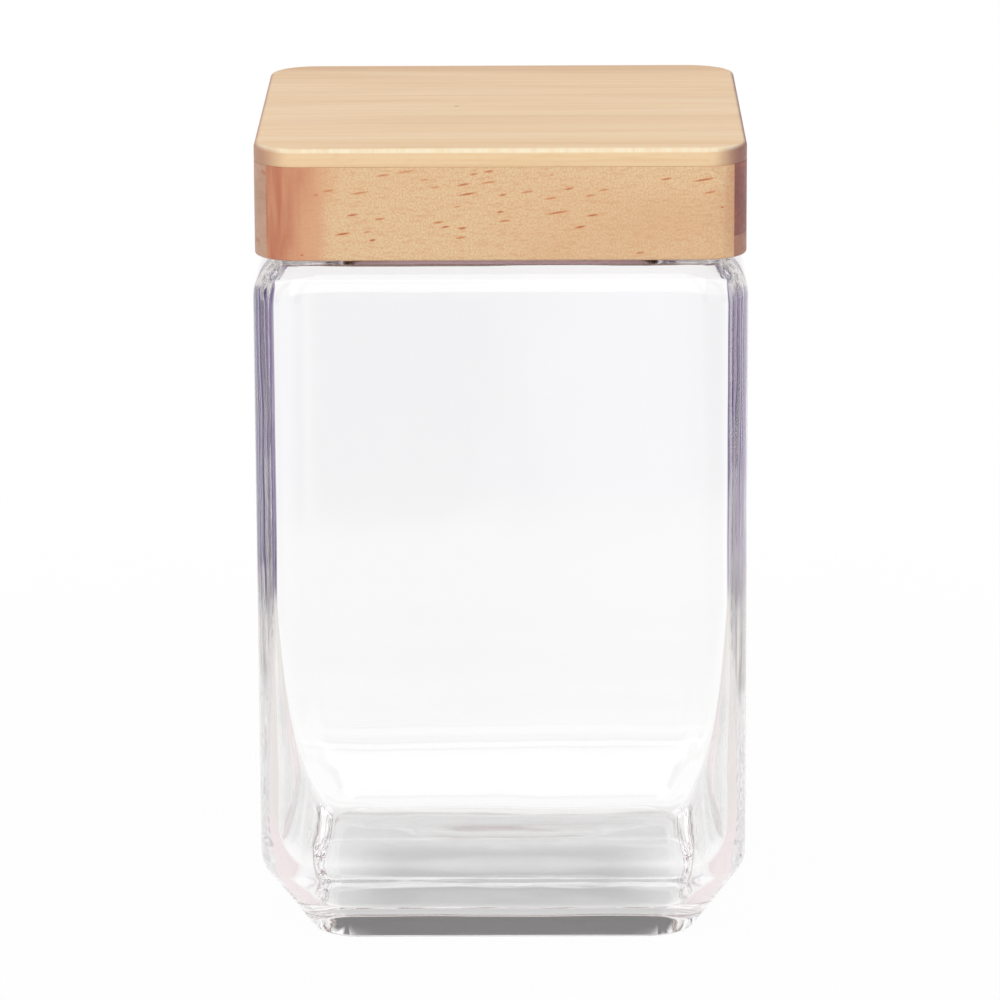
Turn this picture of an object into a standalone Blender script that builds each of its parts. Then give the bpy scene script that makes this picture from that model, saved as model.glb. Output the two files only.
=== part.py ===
"""A square glass candy jar with a wooden over-cap lid, at real size, in metres, +Z up.

The origin is the middle of the foot, on the surface that the jar stands on, and the front faces -Y.
The jar is one loft of rounded squares: out and up over the foot, wall, shoulder and neck, then down
the inside, as the glass is pressed to a blank and blown out into the mould. The lid is a thin board on
a mitred frame of four boards, with an inner plug and its seal.
"""

import math

import bmesh
import bpy
from mathutils import Vector

# Whole object
OVERALL_HEIGHT = 0.1842
TOUCHING_GAP = 0.0003
CORNER_STEPS = 7

# Glass jar: outside
JAR_WIDTH = 0.1097
JAR_CORNER_RADIUS = 0.0120
WALL_THICKNESS = 0.0040
CHAMFER_INSET = 0.0116
FOOT_CORNER_RADIUS = 0.0108
FOOT_EDGE_RADIUS = 0.0018
CHAMFER_HEIGHT = 0.0188
CHAMFER_TOP_RADIUS = 0.0080
SHOULDER_HEIGHT = 0.0053
SHOULDER_INSET = 0.0048
SHOULDER_RADIUS = 0.0110
SHOULDER_TOP_RADIUS = 0.0045
NECK_INSET = 0.0118
NECK_CORNER_RADIUS = 0.0140
NECK_ROOT_RADIUS = 0.0020
RIM_EDGE_RADIUS = 0.0016

# Glass jar: inside and underside
SHOULDER_THICKNESS = 0.0023
INNER_SLOPE_THICKNESS = 0.0028
INNER_SLOPE_TOP_RADIUS = 0.0010
INNER_SHOULDER_RADIUS = 0.0016
INNER_SHOULDER_CORNER_RADIUS = 0.0060
INNER_SHOULDER_RUN = 0.0200
INNER_CORNER_RADIUS = 0.0030
TIGHT_CORNER_END_Z = 0.0800
ROUND_CORNER_START_Z = 0.0400
INNER_NECK_ROOT_RADIUS = 0.0010
INNER_CHAMFER_RADIUS = 0.0260
BASE_THICKNESS = 0.0065
FLOOR_EDGE_RADIUS = 0.0080
FLAT_MIDDLE_WIDTH = 0.0200
FLAT_MIDDLE_CORNER_RADIUS = 0.0050
BEARING_WIDTH = 0.0075
PUSH_UP_SLOPE_WIDTH = 0.0240
PUSH_UP_EDGE_RADIUS = 0.0600
PUSH_UP_HEIGHT = 0.0005

# Lid: boards
LID_INSET = 0.0006
LID_HEIGHT = 0.0250
LID_CORNER_RADIUS = 0.0100
TOP_BOARD_THICKNESS = 0.0041
TOP_EDGE_RADIUS = 0.0012
FRAME_NECK_CLEARANCE = 0.0016
FRAME_EDGE_EASE = 0.0005
SKIRT_CLEARANCE = 0.0006

# Lid: plug and seal
PLUG_THICKNESS = 0.0110
PLUG_CLEARANCE = 0.0016
PLUG_LEAD_IN = 0.0010
GROOVE_DEPTH = 0.0024
GROOVE_HEIGHT = 0.0052
GROOVE_BELOW_TOP = 0.0026
SEAL_LIP_COUNT = 2
SEAL_LIP_ROOT = 0.0012
SEAL_LIP_TIP = 0.0005
SEAL_LIP_DROOP = 0.0004
SEAL_LIP_PITCH_SHARE = 0.9

# Heights and widths that follow from the sizes above
LID_BOTTOM_Z = OVERALL_HEIGHT - LID_HEIGHT
BOARD_UNDERSIDE_Z = OVERALL_HEIGHT - TOP_BOARD_THICKNESS
RIM_Z = BOARD_UNDERSIDE_Z - TOUCHING_GAP
FRAME_TOP_Z = BOARD_UNDERSIDE_Z - TOUCHING_GAP
PLATEAU_Z = LID_BOTTOM_Z - SKIRT_CLEARANCE
SHOULDER_Z = PLATEAU_Z - SHOULDER_HEIGHT
PLUG_TOP_Z = BOARD_UNDERSIDE_Z - TOUCHING_GAP
PLUG_BOTTOM_Z = PLUG_TOP_Z - PLUG_THICKNESS
GROOVE_TOP_Z = PLUG_TOP_Z - GROOVE_BELOW_TOP
GROOVE_BOTTOM_Z = GROOVE_TOP_Z - GROOVE_HEIGHT

HALF = 0.5
JAR_HALF = JAR_WIDTH * HALF
FOOT_HALF = JAR_HALF - CHAMFER_INSET
NECK_HALF = JAR_HALF - NECK_INSET
MOUTH_HALF = NECK_HALF - WALL_THICKNESS
MOUTH_CORNER_RADIUS = NECK_CORNER_RADIUS - WALL_THICKNESS
LID_HALF = JAR_HALF - LID_INSET
FRAME_INNER_HALF = NECK_HALF + FRAME_NECK_CLEARANCE
PLUG_HALF = MOUTH_HALF - PLUG_CLEARANCE
PLUG_CORNER_RADIUS = MOUTH_CORNER_RADIUS - PLUG_CLEARANCE

GLASS_COLOUR = (0.93, 0.95, 0.95, 1.0)
TOP_WOOD_COLOUR = (0.80, 0.61, 0.36, 1.0)
FRAME_WOOD_COLOUR = (0.72, 0.44, 0.24, 1.0)
SIDE_WOOD_COLOUR = (0.55, 0.33, 0.22, 1.0)
PLUG_WOOD_COLOUR = (0.76, 0.55, 0.33, 1.0)
SEAL_COLOUR = (0.88, 0.89, 0.89, 1.0)


def clear_scene():
    """Removes whatever the scene holds, so that the part starts from nothing."""
    for thing in list(bpy.data.objects):
        bpy.data.objects.remove(thing, do_unlink=True)


def new_collection(name):
    """A collection of this name in the scene."""
    collection = bpy.data.collections.new(name)
    bpy.context.scene.collection.children.link(collection)
    return collection


def principled(name, colour, roughness, alpha=1.0):
    """A plain Principled material; nothing on this object is metal."""
    material = bpy.data.materials.new(name)
    material.use_nodes = True
    shader = material.node_tree.nodes["Principled BSDF"]
    shader.inputs["Base Color"].default_value = colour
    shader.inputs["Roughness"].default_value = roughness
    shader.inputs["Metallic"].default_value = 0.0
    shader.inputs["Alpha"].default_value = alpha
    return material


def place(name, mesh, material, collection, parent=None):
    """A named object for the mesh, with its material, in the collection and under its parent."""
    part = bpy.data.objects.new(name, mesh)
    mesh.materials.clear()
    mesh.materials.append(material)
    collection.objects.link(part)
    part.parent = parent
    return part


def rounded_square(half, radius, z):
    """Points round a square with round corners, anticlockwise from the +X side, at height z."""
    centre = half - radius
    points = []
    for corner in range(4):
        turn = math.radians(90 * corner)
        for step in range(CORNER_STEPS + 1):
            angle = math.radians(90 * step / CORNER_STEPS)
            x = centre + radius * math.cos(angle)
            y = centre + radius * math.sin(angle)
            points.append(Vector((
                x * math.cos(turn) - y * math.sin(turn),
                x * math.sin(turn) + y * math.cos(turn),
                z,
            )))
    return points


def rounded_profile(stations):
    """Turns stations (half width, height, corner radius in plan, edge radius, steps) into profile points.

    Each station's edge is replaced by an arc. Where two arcs would meet on one straight run, both
    shrink alike, so that a change of size never makes the profile cross itself.
    """
    places = [Vector(station[:2]) for station in stations]
    plan_radii = [station[2] for station in stations]
    count = len(stations)

    def wanted_tangent(index):
        edge_radius = stations[index][3]
        if edge_radius <= 0:
            return 0.0
        turn = (places[index] - places[index - 1]).angle(places[index + 1] - places[index])
        return edge_radius * math.tan(turn / 2)

    wanted = [wanted_tangent(index) for index in range(count)]

    def fitting(index, other):
        run = (places[index] - places[other]).length
        both = wanted[index] + wanted[other]
        return 1.0 if both <= run else run / both

    profile = []
    for index in range(count):
        if wanted[index] == 0.0:
            profile.append((places[index].x, places[index].y, plan_radii[index]))
            continue
        tangent = wanted[index] * min(fitting(index, index - 1), fitting(index, index + 1))
        profile += edge_arc(places, plan_radii, index, tangent, stations[index][4])
    return profile


def edge_arc(places, plan_radii, index, tangent, steps):
    """The arc that rounds one station's edge, as points (half width, height, corner radius in plan)."""
    corner = places[index]
    back = places[index - 1] - corner
    ahead = places[index + 1] - corner
    start = corner + back.normalized() * tangent
    end = corner + ahead.normalized() * tangent
    share_back = tangent / back.length
    share_ahead = tangent / ahead.length
    start_radius = plan_radii[index] + (plan_radii[index - 1] - plan_radii[index]) * share_back
    end_radius = plan_radii[index] + (plan_radii[index + 1] - plan_radii[index]) * share_ahead
    turn = math.pi - back.angle(ahead)
    radius = tangent / math.tan(turn / 2)
    inward = (start - corner) + (end - corner)
    centre = corner + inward.normalized() * math.hypot(tangent, radius)
    first = start - centre
    way = 1.0 if first.x * (end - centre).y - first.y * (end - centre).x > 0 else -1.0
    points = []
    for step in range(steps + 1):
        share = step / steps
        angle = way * turn * share
        x = centre.x + first.x * math.cos(angle) - first.y * math.sin(angle)
        z = centre.y + first.x * math.sin(angle) + first.y * math.cos(angle)
        points.append((x, z, start_radius + (end_radius - start_radius) * share))
    return points


def loft(name, profile, closed=False):
    """A closed body lofted through one rounded square for each profile point.

    An open profile is capped at both ends, and a closed one is joined to its start, as a ring.
    """
    shape = bmesh.new()
    rings = []
    for half, z, radius in profile:
        rings.append([shape.verts.new(point) for point in rounded_square(half, radius, z)])
    pairs = list(zip(rings, rings[1:]))
    if closed:
        pairs.append((rings[-1], rings[0]))
    for lower, upper in pairs:
        for index in range(len(lower)):
            following = (index + 1) % len(lower)
            shape.faces.new((lower[index], lower[following], upper[following], upper[index]))
    if not closed:
        shape.faces.new(reversed(rings[0]))
        shape.faces.new(rings[-1])
    bmesh.ops.recalc_face_normals(shape, faces=shape.faces)
    mesh = bpy.data.meshes.new(name)
    shape.to_mesh(mesh)
    shape.free()
    mesh.shade_smooth()
    mesh.set_sharp_from_angle(angle=math.radians(35))
    return mesh


def flat_board(name, outline, bottom_z, top_z, collection):
    """A board cut to a flat outline: a filled curve, extruded by half its thickness, made a mesh."""
    curve = bpy.data.curves.new(name + "_outline", "CURVE")
    curve.dimensions = "2D"
    curve.fill_mode = "BOTH"
    curve.extrude = (top_z - bottom_z) * HALF
    spline = curve.splines.new("POLY")
    spline.points.add(len(outline) - 1)
    for point, (x, y) in zip(spline.points, outline):
        point.co = (x, y, 0.0, 1.0)
    spline.use_cyclic_u = True
    sketch = bpy.data.objects.new(name + "_sketch", curve)
    collection.objects.link(sketch)
    sketch.location.z = (top_z + bottom_z) * HALF
    bpy.context.view_layer.update()
    graph = bpy.context.evaluated_depsgraph_get()
    mesh = bpy.data.meshes.new_from_object(sketch.evaluated_get(graph))
    mesh.transform(sketch.matrix_world)
    mesh.name = name
    bpy.data.objects.remove(sketch, do_unlink=True)
    shape = bmesh.new()
    shape.from_mesh(mesh)
    bmesh.ops.remove_doubles(shape, verts=shape.verts, dist=TOUCHING_GAP * HALF * HALF)
    # The caps come as triangles, and an edge inside a flat cap must not be taken for an edge of the board.
    bmesh.ops.dissolve_limit(shape, angle_limit=math.radians(1), verts=shape.verts, edges=shape.edges)
    bmesh.ops.recalc_face_normals(shape, faces=shape.faces)
    shape.to_mesh(mesh)
    shape.free()
    return mesh


def round_edges(part, radius, segments, is_rounded):
    """Rounds the edges that the test picks, by a Bevel modifier that reads their weights."""
    mesh = part.data
    weights = mesh.attributes.new("bevel_weight_edge", "FLOAT", "EDGE")
    for edge in mesh.edges:
        ends = [mesh.vertices[index].co for index in edge.vertices]
        weights.data[edge.index].value = 1.0 if is_rounded(*ends) else 0.0
    bevel = part.modifiers.new("Rounded edge", "BEVEL")
    bevel.limit_method = "WEIGHT"
    bevel.width = radius
    bevel.segments = segments
    mesh.shade_smooth()
    mesh.set_sharp_from_angle(angle=math.radians(35))


def make_glass_jar(collection):
    """The blown glass: one profile from the middle of the underside to the middle of the floor.

    Inside, the upright corners are tight in the upper half. They grow rounder on the last run up to
    the shoulder, and below they open until they run parallel to the outside. The chamfer and the
    shoulder's slope are each parallel inside and outside.
    """
    inner_half = JAR_HALF - WALL_THICKNESS
    bearing_half = FOOT_HALF - BEARING_WIDTH
    push_up_half = bearing_half - PUSH_UP_SLOPE_WIDTH
    bearing_radius = FOOT_CORNER_RADIUS * bearing_half / FOOT_HALF
    push_up_radius = FOOT_CORNER_RADIUS * push_up_half / FOOT_HALF
    shoulder_half = JAR_HALF - SHOULDER_INSET
    inner_root_z = PLATEAU_Z - SHOULDER_THICKNESS
    slope_turn = math.atan2(SHOULDER_INSET, SHOULDER_HEIGHT)
    slope_at_shoulder = JAR_HALF - INNER_SLOPE_THICKNESS / math.cos(slope_turn)
    slope_top_half = slope_at_shoulder - (inner_root_z - SHOULDER_Z) * math.tan(slope_turn)
    slope_low_z = SHOULDER_Z - (inner_half - slope_at_shoulder) / math.tan(slope_turn)
    slope_top_radius = (MOUTH_CORNER_RADIUS + INNER_SHOULDER_CORNER_RADIUS) * HALF
    chamfer_turn = math.atan2(CHAMFER_INSET, CHAMFER_HEIGHT)
    inner_chamfer_z = CHAMFER_HEIGHT + WALL_THICKNESS * math.tan(chamfer_turn / 2)
    floor_half = inner_half - (inner_chamfer_z - BASE_THICKNESS) * math.tan(chamfer_turn)
    shoulder_plan_radius = (JAR_CORNER_RADIUS + NECK_CORNER_RADIUS) * HALF
    middle_half = FLAT_MIDDLE_WIDTH * HALF
    low_corner_radius = JAR_CORNER_RADIUS - WALL_THICKNESS
    stations = [
        (middle_half, PUSH_UP_HEIGHT, FLAT_MIDDLE_CORNER_RADIUS, 0, 0),
        (push_up_half, PUSH_UP_HEIGHT, push_up_radius, PUSH_UP_EDGE_RADIUS, 3),
        (bearing_half, 0.0, bearing_radius, 0, 0),
        (FOOT_HALF, 0.0, FOOT_CORNER_RADIUS, FOOT_EDGE_RADIUS, 3),
        (JAR_HALF, CHAMFER_HEIGHT, JAR_CORNER_RADIUS, CHAMFER_TOP_RADIUS, 5),
        (JAR_HALF, SHOULDER_Z, JAR_CORNER_RADIUS, SHOULDER_RADIUS, 7),
        (shoulder_half, PLATEAU_Z, shoulder_plan_radius, SHOULDER_TOP_RADIUS, 4),
        (NECK_HALF, PLATEAU_Z, NECK_CORNER_RADIUS, NECK_ROOT_RADIUS, 4),
        (NECK_HALF, RIM_Z, NECK_CORNER_RADIUS, RIM_EDGE_RADIUS, 4),
        (MOUTH_HALF, RIM_Z, MOUTH_CORNER_RADIUS, RIM_EDGE_RADIUS, 4),
        (MOUTH_HALF, inner_root_z, MOUTH_CORNER_RADIUS, INNER_NECK_ROOT_RADIUS, 3),
        (slope_top_half, inner_root_z, slope_top_radius, INNER_SLOPE_TOP_RADIUS, 3),
        (inner_half, slope_low_z, INNER_SHOULDER_CORNER_RADIUS, INNER_SHOULDER_RADIUS, 3),
        (inner_half, slope_low_z - INNER_SHOULDER_RUN, INNER_CORNER_RADIUS, 0, 0),
        (inner_half, TIGHT_CORNER_END_Z, INNER_CORNER_RADIUS, 0, 0),
        (inner_half, ROUND_CORNER_START_Z, low_corner_radius, 0, 0),
        (inner_half, inner_chamfer_z, low_corner_radius, INNER_CHAMFER_RADIUS, 5),
        (floor_half, BASE_THICKNESS, low_corner_radius, FLOOR_EDGE_RADIUS, 6),
        (middle_half, BASE_THICKNESS, FLAT_MIDDLE_CORNER_RADIUS, 0, 0),
    ]
    mesh = loft("glass_jar", rounded_profile(stations))
    glass = principled("clear_glass", GLASS_COLOUR, 0.03, alpha=0.35)
    return place("glass_jar", mesh, glass, collection)


def corner_arc(half, radius, first_angle, last_angle, steps):
    """Points on the +X +Y corner of a rounded square of this half width, between two angles."""
    centre = half - radius
    points = []
    for step in range(steps + 1):
        angle = first_angle + (last_angle - first_angle) * step / steps
        points.append((centre + radius * math.cos(angle), centre + radius * math.sin(angle)))
    return points


def make_top_board(collection, parent):
    """The thin top board, rounded along its upper edge."""
    outline = [(point.x, point.y) for point in rounded_square(LID_HALF, LID_CORNER_RADIUS, 0.0)]
    mesh = flat_board("lid_top_board", outline, BOARD_UNDERSIDE_Z, OVERALL_HEIGHT, collection)
    wood = principled("pale_wood", TOP_WOOD_COLOUR, 0.5)
    board = place("lid_top_board", mesh, wood, collection, parent)
    middle_z = (BOARD_UNDERSIDE_Z + OVERALL_HEIGHT) * HALF
    round_edges(board, TOP_EDGE_RADIUS, 4, lambda a, b: a.z > middle_z and b.z > middle_z)
    return board


def frame_board_outline():
    """Plan of the board on the +X side: round outer corners cut on the mitre, and a straight inner face.

    Each mitre stands back from the diagonal by half the gap between two boards.
    """
    set_back = TOUCHING_GAP * HALF * math.sqrt(2)
    # The mitre is the line y = x - set_back, which passes the corner's centre at set_back / sqrt(2).
    mitre_angle = math.radians(45) - math.asin(set_back / math.sqrt(2) / LID_CORNER_RADIUS)
    upper = corner_arc(LID_HALF, LID_CORNER_RADIUS, 0.0, mitre_angle, CORNER_STEPS // 2 + 1)
    inner_y = FRAME_INNER_HALF - set_back
    lower = [(x, -y) for x, y in reversed(upper)]
    return lower + upper + [(FRAME_INNER_HALF, inner_y), (FRAME_INNER_HALF, -inner_y)]


def make_frame_board(name, quarter_turns, wood, collection, parent):
    """One mitred board, turned from the +X side to its own side in plan."""
    turn = math.radians(90 * quarter_turns)
    outline = []
    for x, y in frame_board_outline():
        outline.append((x * math.cos(turn) - y * math.sin(turn), x * math.sin(turn) + y * math.cos(turn)))
    mesh = flat_board(name, outline, LID_BOTTOM_Z, FRAME_TOP_Z, collection)
    board = place(name, mesh, wood, collection, parent)
    middle_z = (LID_BOTTOM_Z + FRAME_TOP_Z) * HALF
    corner_centre = LID_HALF - LID_CORNER_RADIUS

    def is_outside(point):
        """Whether a point lies on the outer face, the round corners included."""
        across = max(abs(point.x) - corner_centre, 0.0)
        along = max(abs(point.y) - corner_centre, 0.0)
        return math.hypot(across, along) > LID_CORNER_RADIUS - TOUCHING_GAP

    def is_eased(start, end):
        low = start.z < middle_z and end.z < middle_z
        return low and is_outside(start) and is_outside(end)

    round_edges(board, FRAME_EDGE_EASE, 2, is_eased)
    return board


def make_plug(collection, parent):
    """The inner board that goes into the mouth, with a lead-in below and a groove for the seal."""
    middle_half = FLAT_MIDDLE_WIDTH * HALF
    groove_half = PLUG_HALF - GROOVE_DEPTH
    groove_radius = PLUG_CORNER_RADIUS - GROOVE_DEPTH
    lead_half = PLUG_HALF - PLUG_LEAD_IN
    lead_radius = PLUG_CORNER_RADIUS - PLUG_LEAD_IN
    profile = [
        (middle_half, PLUG_BOTTOM_Z, FLAT_MIDDLE_CORNER_RADIUS),
        (lead_half, PLUG_BOTTOM_Z, lead_radius),
        (PLUG_HALF, PLUG_BOTTOM_Z + PLUG_LEAD_IN, PLUG_CORNER_RADIUS),
        (PLUG_HALF, GROOVE_BOTTOM_Z, PLUG_CORNER_RADIUS),
        (groove_half, GROOVE_BOTTOM_Z, groove_radius),
        (groove_half, GROOVE_TOP_Z, groove_radius),
        (PLUG_HALF, GROOVE_TOP_Z, PLUG_CORNER_RADIUS),
        (PLUG_HALF, PLUG_TOP_Z, PLUG_CORNER_RADIUS),
        (middle_half, PLUG_TOP_Z, FLAT_MIDDLE_CORNER_RADIUS),
    ]
    mesh = loft("lid_plug", profile)
    wood = principled("plug_wood", PLUG_WOOD_COLOUR, 0.6)
    return place("lid_plug", mesh, wood, collection, parent)


def make_gasket(collection, parent):
    """The silicone ring: a band that fills the groove, with lips that reach the inside of the neck."""
    groove_half = PLUG_HALF - GROOVE_DEPTH
    inner_half = groove_half + TOUCHING_GAP
    inner_radius = PLUG_CORNER_RADIUS - GROOVE_DEPTH + TOUCHING_GAP
    band_top_z = GROOVE_TOP_Z - TOUCHING_GAP
    band_bottom_z = GROOVE_BOTTOM_Z + TOUCHING_GAP
    lip_half = MOUTH_HALF - TOUCHING_GAP
    lip_radius = MOUTH_CORNER_RADIUS - TOUCHING_GAP
    pitch = (band_top_z - band_bottom_z) / SEAL_LIP_COUNT
    profile = [
        (inner_half, band_top_z, inner_radius),
        (inner_half, band_bottom_z, inner_radius),
        (PLUG_HALF, band_bottom_z, PLUG_CORNER_RADIUS),
    ]
    for lip in range(SEAL_LIP_COUNT):
        middle_z = band_bottom_z + pitch * (lip + HALF)
        root_half_height = min(SEAL_LIP_ROOT, pitch * SEAL_LIP_PITCH_SHARE) * HALF
        tip_half_height = min(SEAL_LIP_TIP, SEAL_LIP_ROOT) * HALF
        tip_z = middle_z - SEAL_LIP_DROOP
        profile += [
            (PLUG_HALF, middle_z - root_half_height, PLUG_CORNER_RADIUS),
            (lip_half, tip_z - tip_half_height, lip_radius),
            (lip_half, tip_z + tip_half_height, lip_radius),
            (PLUG_HALF, middle_z + root_half_height, PLUG_CORNER_RADIUS),
        ]
    profile.append((PLUG_HALF, band_top_z, PLUG_CORNER_RADIUS))
    mesh = loft("lid_gasket", profile, closed=True)
    silicone = principled("clear_silicone", SEAL_COLOUR, 0.35, alpha=0.7)
    return place("lid_gasket", mesh, silicone, collection, parent)


def make_lid(collection):
    """All pieces of the lid under one empty, which stands on the axis that the lid lifts along."""
    lift = bpy.data.objects.new("lid_lift_axis", None)
    collection.objects.link(lift)
    make_top_board(collection, lift)
    front_wood = principled("orange_wood", FRAME_WOOD_COLOUR, 0.55)
    side_wood = principled("brown_wood", SIDE_WOOD_COLOUR, 0.55)
    make_frame_board("lid_frame_right", 0, side_wood, collection, lift)
    make_frame_board("lid_frame_back", 1, front_wood, collection, lift)
    make_frame_board("lid_frame_left", 2, side_wood, collection, lift)
    make_frame_board("lid_frame_front", 3, front_wood, collection, lift)
    make_plug(collection, lift)
    make_gasket(collection, lift)


def main():
    """Builds the jar and its lid."""
    clear_scene()
    collection = new_collection("candy_jar")
    make_glass_jar(collection)
    make_lid(collection)


main()
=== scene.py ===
# %% [markdown]
# # A square glass jar with a wooden lid
# A candy jar has two things to show: clear glass, which we see only by how it bends and dims the light
# behind it, and a small lid glued up from pale wood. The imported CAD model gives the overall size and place.
# This lesson builds finer pieces round it, gives each one a finish made of nodes, and lights them plainly.

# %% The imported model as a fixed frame
import math

import bmesh
import bpy
from mathutils import Matrix, Vector, noise


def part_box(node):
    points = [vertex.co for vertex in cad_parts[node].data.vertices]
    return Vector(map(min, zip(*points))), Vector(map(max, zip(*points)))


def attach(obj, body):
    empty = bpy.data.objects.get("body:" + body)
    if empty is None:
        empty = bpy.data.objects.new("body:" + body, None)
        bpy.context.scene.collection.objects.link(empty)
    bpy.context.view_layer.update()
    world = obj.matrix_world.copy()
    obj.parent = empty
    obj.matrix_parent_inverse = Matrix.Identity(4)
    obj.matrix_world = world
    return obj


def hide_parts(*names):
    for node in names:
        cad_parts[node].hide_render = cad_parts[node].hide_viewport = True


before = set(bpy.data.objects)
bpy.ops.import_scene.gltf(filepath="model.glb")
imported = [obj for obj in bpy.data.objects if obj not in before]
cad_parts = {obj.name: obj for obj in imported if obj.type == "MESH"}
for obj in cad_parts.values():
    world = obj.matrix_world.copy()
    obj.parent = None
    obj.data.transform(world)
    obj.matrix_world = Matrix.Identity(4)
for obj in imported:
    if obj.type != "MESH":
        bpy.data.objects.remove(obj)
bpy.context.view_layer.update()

jar_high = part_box("glass_jar")[1]
board_low, board_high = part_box("lid_top_board")
frame_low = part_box("lid_frame_front")[0]

# %% [markdown]
# ## The camera first
# Glass changes its look with every degree of view, so the camera comes before any finish. It stands 1.4 m
# away behind a long lens and looks 14 degrees down. The jar in the picture is turned by a third of a degree
# and leans by a quarter of one, and a camera can carry both of these, so the jar itself stays straight.

# %% Camera
CAMERA_DISTANCE = 1.366
CAMERA_PITCH = math.radians(13.86)
CAMERA_ROLL = math.radians(0.25)
CAMERA_TURN = math.radians(0.34)
CAMERA_AIM = Vector((-0.00065, 0.0, 0.09182))
SENSOR_WIDTH = 36.0
LENS_LENGTH = 213.07
NEAREST_SEEN = 0.05
FARTHEST_SEEN = 50.0

camera = bpy.data.objects.new("camera", bpy.data.cameras.new("camera"))
bpy.context.scene.collection.objects.link(camera)
camera.data.sensor_width = SENSOR_WIDTH
camera.data.lens = LENS_LENGTH
camera.data.clip_start = NEAREST_SEEN
camera.data.clip_end = FARTHEST_SEEN
seat = Vector((
    CAMERA_AIM.x,
    -CAMERA_DISTANCE * math.cos(CAMERA_PITCH),
    CAMERA_DISTANCE * math.sin(CAMERA_PITCH) + CAMERA_AIM.z,
))
turn = Matrix.Rotation(CAMERA_TURN, 4, "Z")
tilt = Matrix.Rotation(math.radians(90) - CAMERA_PITCH, 4, "X")
roll = Matrix.Rotation(-CAMERA_ROLL, 4, "Z")
camera.matrix_world = turn @ Matrix.Translation(seat) @ tilt @ roll
bpy.context.scene.camera = camera
print("camera stands at", [round(value, 3) for value in camera.matrix_world.translation])

# %% [markdown]
# ## One way to make almost every piece
# The jar, its seal, the plug and the top board are all square with round corners, and only their side view
# differs. So each is a loft: a side view, called the profile, says how wide the square is at each height,
# and rings of points follow it. A profile is written as a few corners, and each corner gets its own arc.

# %% A square ring
HALF = 0.5
CORNER_STEPS = 14
SIDE_STEPS = 14


def rounded_square(half, radius, z):
    """One ring: a square with round corners, anticlockwise, with points along its straight sides too."""
    centre = half - radius
    points = []
    for corner in range(4):
        spin = Matrix.Rotation(math.radians(90 * corner), 3, "Z")
        for step in range(CORNER_STEPS + 1):
            angle = math.radians(90 * step / CORNER_STEPS)
            x = centre + radius * math.cos(angle)
            y = centre + radius * math.sin(angle)
            points.append(spin @ Vector((x, y, z)))
        for step in range(1, SIDE_STEPS):
            points.append(spin @ Vector((centre * (1 - 2 * step / SIDE_STEPS), half, z)))
    return points


# %% Profiles with round corners


def arc_at(corners, index, tangent, steps):
    """The arc that rounds one corner (half width, height, plan radius) of a profile."""
    here = Vector(corners[index][:2])
    back = Vector(corners[index - 1][:2]) - here
    ahead = Vector(corners[index + 1][:2]) - here
    start = here + back.normalized() * tangent
    end = here + ahead.normalized() * tangent
    plan = corners[index][2]
    start_plan = plan + (corners[index - 1][2] - plan) * tangent / back.length
    end_plan = plan + (corners[index + 1][2] - plan) * tangent / ahead.length
    bend = math.pi - back.angle(ahead)
    radius = tangent / math.tan(bend / 2)
    centre = here + ((start - here) + (end - here)).normalized() * math.hypot(tangent, radius)
    first = start - centre
    way = 1.0 if first.cross(end - centre) > 0 else -1.0
    points = []
    for step in range(steps + 1):
        share = step / steps
        place = centre + Matrix.Rotation(way * bend * share, 2) @ first
        points.append((place.x, place.y, start_plan + (end_plan - start_plan) * share))
    return points


def profile_from(corners, longest_run):
    """Turns corners (half width, height, plan radius, edge radius, steps) into a fine profile."""
    profile = []
    for index, corner in enumerate(corners):
        if corner[3] <= 0:
            arc = [corner[:3]]
        else:
            here = Vector(corner[:2])
            bend = (here - Vector(corners[index - 1][:2])).angle(Vector(corners[index + 1][:2]) - here)
            arc = arc_at(corners, index, corner[3] * math.tan(bend / 2), corner[4])
        if profile:
            gap = (Vector(arc[0][:2]) - Vector(profile[-1][:2])).length
            pieces = max(1, math.ceil(gap / longest_run))
            before = Vector(profile[-1])
            for piece in range(1, pieces):
                profile.append(tuple(before.lerp(Vector(arc[0]), piece / pieces)))
        profile += arc
    return profile


# %% Skins and lofts


def skin(name, rings, closed=False):
    """A smooth body over rings of points. Its ends meet if closed, or else get a face each."""
    shape = bmesh.new()
    levels = []
    for ring in rings:
        levels.append([shape.verts.new(point) for point in ring])
    pairs = list(zip(levels, levels[1:]))
    if closed:
        pairs.append((levels[-1], levels[0]))
    for lower, upper in pairs:
        for index in range(len(lower)):
            after = (index + 1) % len(lower)
            shape.faces.new((lower[index], lower[after], upper[after], upper[index]))
    if not closed:
        shape.faces.new(reversed(levels[0]))
        shape.faces.new(levels[-1])
    bmesh.ops.recalc_face_normals(shape, faces=shape.faces)
    mesh = bpy.data.meshes.new(name)
    shape.to_mesh(mesh)
    shape.free()
    mesh.shade_smooth()
    piece = bpy.data.objects.new(name, mesh)
    bpy.context.scene.collection.objects.link(piece)
    print(name, len(mesh.polygons), "faces")
    return piece


def loft(name, profile, closed=False):
    """A body through one rounded square for each profile point (half width, height, plan radius)."""
    return skin(name, [rounded_square(half, radius, z) for half, z, radius in profile], closed)


# %% [markdown]
# ## The glass
# One gob of glass is pressed to a blank and then blown against a polished mould, so the outside is true and
# the inside is soft. We loft it once round: over the foot, up the wall, over the shoulder and neck, and down
# the inside, which follows the foot's chamfer. Walls are 4 mm thick and the base 6.5 mm. The inside corners
# are tight above, which gathers light into a dark band, and open below, where the band fades out.

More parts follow.
